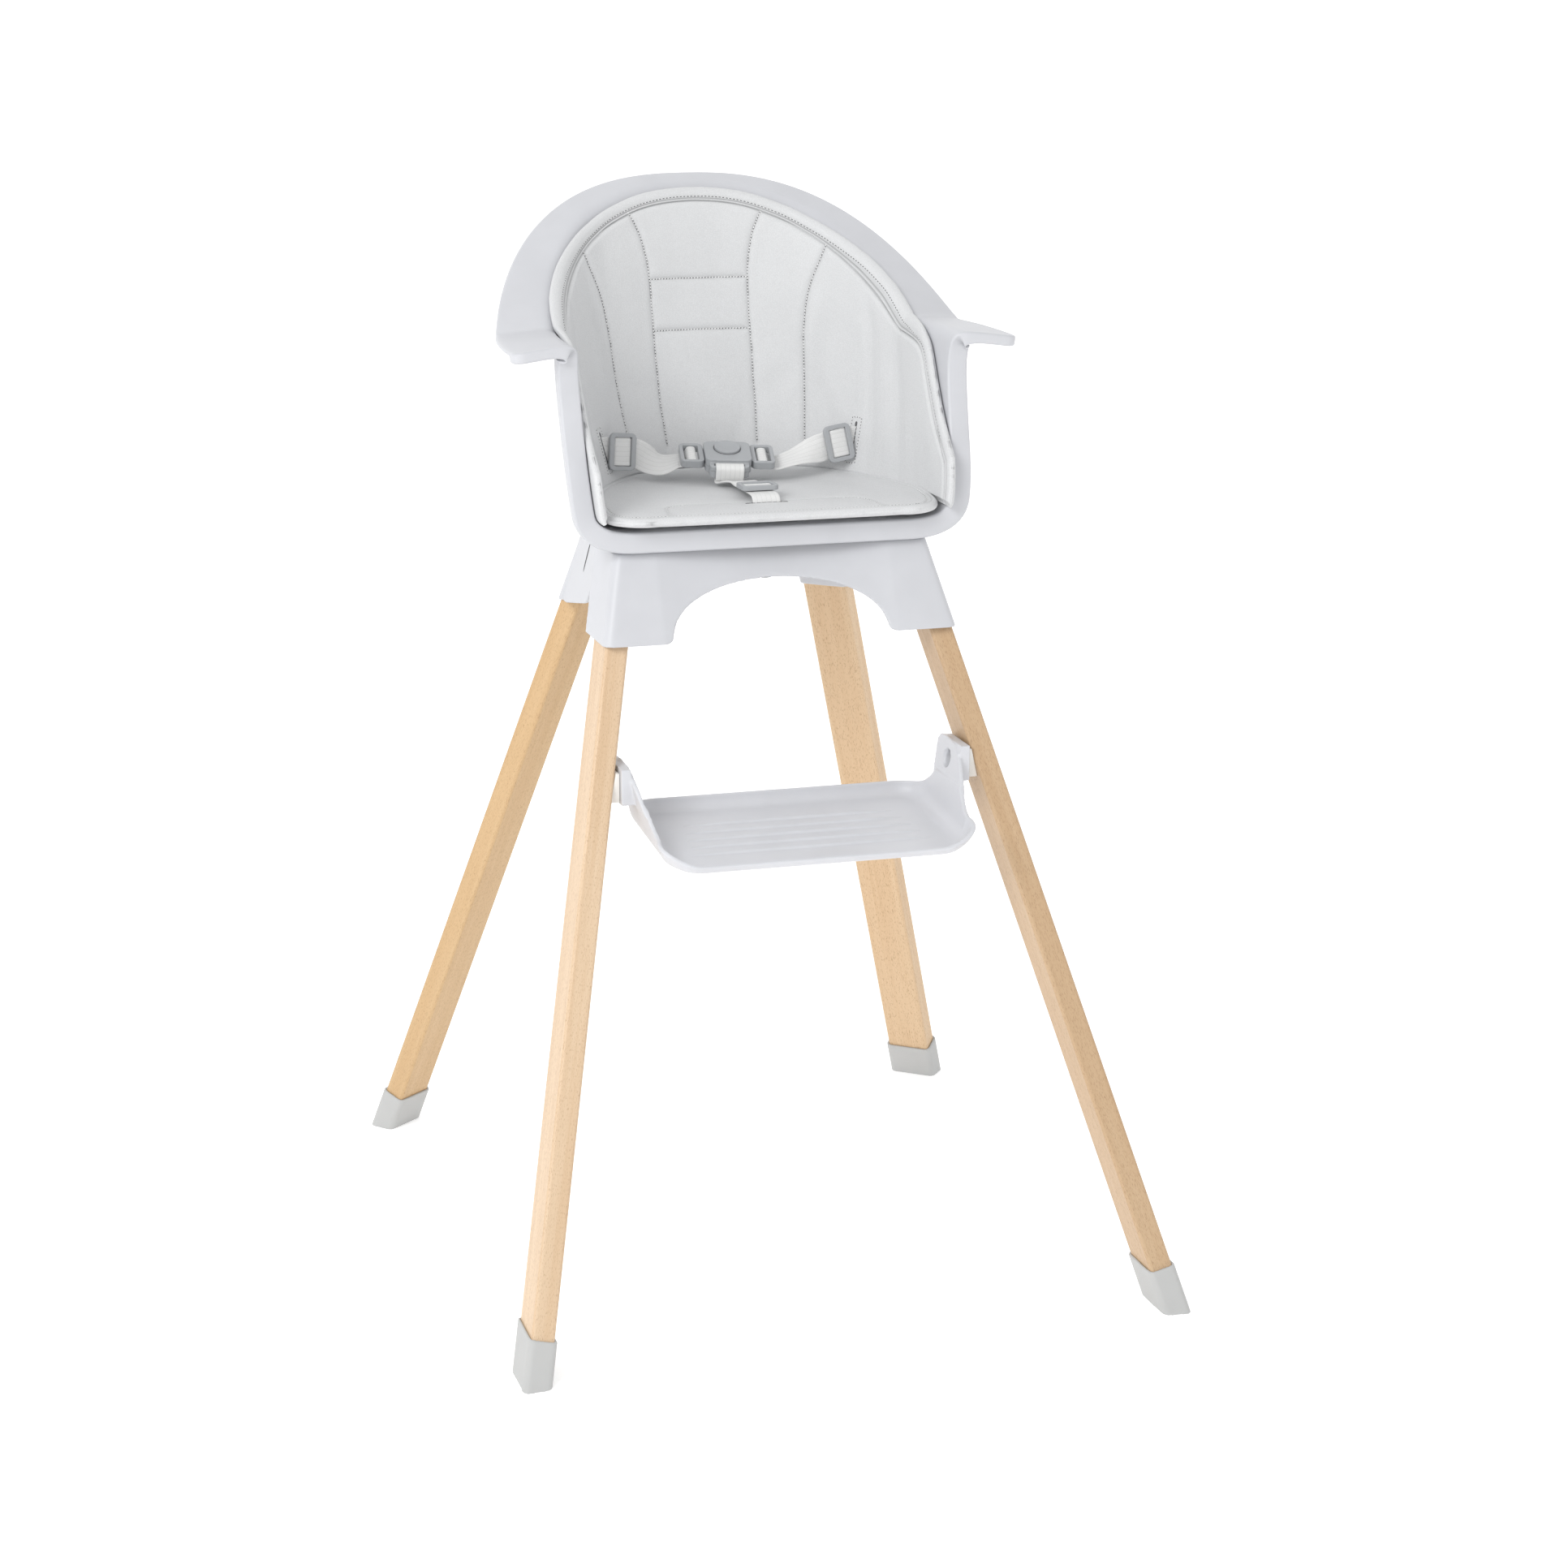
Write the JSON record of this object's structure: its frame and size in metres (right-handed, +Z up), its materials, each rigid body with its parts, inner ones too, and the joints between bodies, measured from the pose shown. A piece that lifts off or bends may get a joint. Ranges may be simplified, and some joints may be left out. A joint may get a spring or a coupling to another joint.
{
  "type": "baby high chair",
  "caption": "Baby high chair with a moulded bucket seat, quilted liner and buckled harness on a moulded frame with splayed wooden legs and a hook-on footrest.",
  "frame": {"origin": "on the floor, at the middle of the footprint's bounding box", "axes": "+Z up; the child sits facing -Y; +X is to the right of a viewer who faces the front of the chair; the frame is symmetric about X = 0"},
  "size_m": [0.5852, 0.6694, 0.917],
  "materials": {
    "plastic": "satin, very light cool grey",
    "caps": "matte light grey",
    "beech": "clear satin lacquer",
    "liner": "grained synthetic leather, quilted",
    "hardware": "satin mid grey",
    "studs": "satin white",
    "webbing": "shiny herringbone weave",
    "steel": "zinc plated"
  },
  "bodies": {
    "frame": {"leg_frame": "plastic", "leg_front_left": "beech", "leg_front_right": "beech", "leg_rear_left": "beech", "leg_rear_right": "beech", "foot_cap_front_left": "caps", "foot_cap_front_right": "caps", "foot_cap_rear_left": "caps", "foot_cap_rear_right": "caps", "leg_bolts": "steel", "barrel_nuts": "steel", "footrest_stud_left": "studs", "footrest_stud_right": "studs", "stud_screws": "steel"},
    "release_tab": {"seat_release_tab": "hardware", "release_spring": "steel"},
    "seat": {"seat_shell": "plastic", "seat_bosses": "plastic", "seat_screws": "steel", "back_pad": "liner", "seat_pad": "liner", "waist_strap_left": "webbing", "waist_strap_right": "webbing", "crotch_strap": "webbing", "strap_anchors": "hardware", "buckle_body": "hardware", "buckle_base": "hardware", "button_spring": "steel"},
    "button": {"buckle_button": "hardware"},
    "connector_left": {"connector_left": "hardware"},
    "connector_right": {"connector_right": "hardware"},
    "slider_left": {"adjuster_left": "hardware", "adjuster_loop_left": "webbing"},
    "slider_right": {"adjuster_right": "hardware", "adjuster_loop_right": "webbing"},
    "slider_crotch": {"adjuster_crotch": "hardware", "adjuster_loop_crotch": "webbing"},
    "footrest": {"footrest": "plastic"}
  },
  "joints": [
    {"name": "release_tab_push", "type": "slide", "parent": "frame", "child": "release_tab", "axis": [0, 0, 1], "range_m": [0, 0.0025], "stiffness_N_per_m": 300, "springref_m": -0.002, "deforming": ["release_spring"]},
    {"name": "seat_lift_off", "type": "slide", "parent": "frame", "child": "seat", "axis": [0, 0, 1], "range_m": [0, 0.06]},
    {"name": "button_push", "type": "slide", "parent": "seat", "child": "button", "axis": [0.021, 0.3101, -0.9505], "range_m": [0, 0.0022], "stiffness_N_per_m": 600, "springref_m": -0.001, "deforming": ["button_spring"]},
    {"name": "connector_left_out", "type": "slide", "parent": "seat", "child": "connector_left", "axis": [-0.9842, 0.1735, 0.0349], "range_m": [0, 0.014], "deforming": ["waist_strap_left"]},
    {"name": "connector_right_out", "type": "slide", "parent": "seat", "child": "connector_right", "axis": [0.9842, -0.1735, -0.0349], "range_m": [0, 0.014], "deforming": ["waist_strap_right"]},
    {"name": "slider_left_slide", "type": "slide", "parent": "seat", "child": "slider_left", "axis": [0.9886, 0.1236, -0.0865], "range_m": [0, 0.008], "deforming": ["waist_strap_left"]},
    {"name": "slider_right_slide", "type": "slide", "parent": "seat", "child": "slider_right", "axis": [-0.9852, -0.092, -0.1445], "range_m": [0, 0.012], "deforming": ["waist_strap_right"]},
    {"name": "slider_crotch_slide", "type": "slide", "parent": "seat", "child": "slider_crotch", "axis": [0, 1, -0.0091], "range_m": [-0.003, 0.02], "deforming": ["crotch_strap"]},
    {"name": "footrest_pull_off", "type": "slide", "parent": "frame", "child": "footrest", "axis": [0, -1, 0], "range_m": [0, 0.045]}
  ]
}
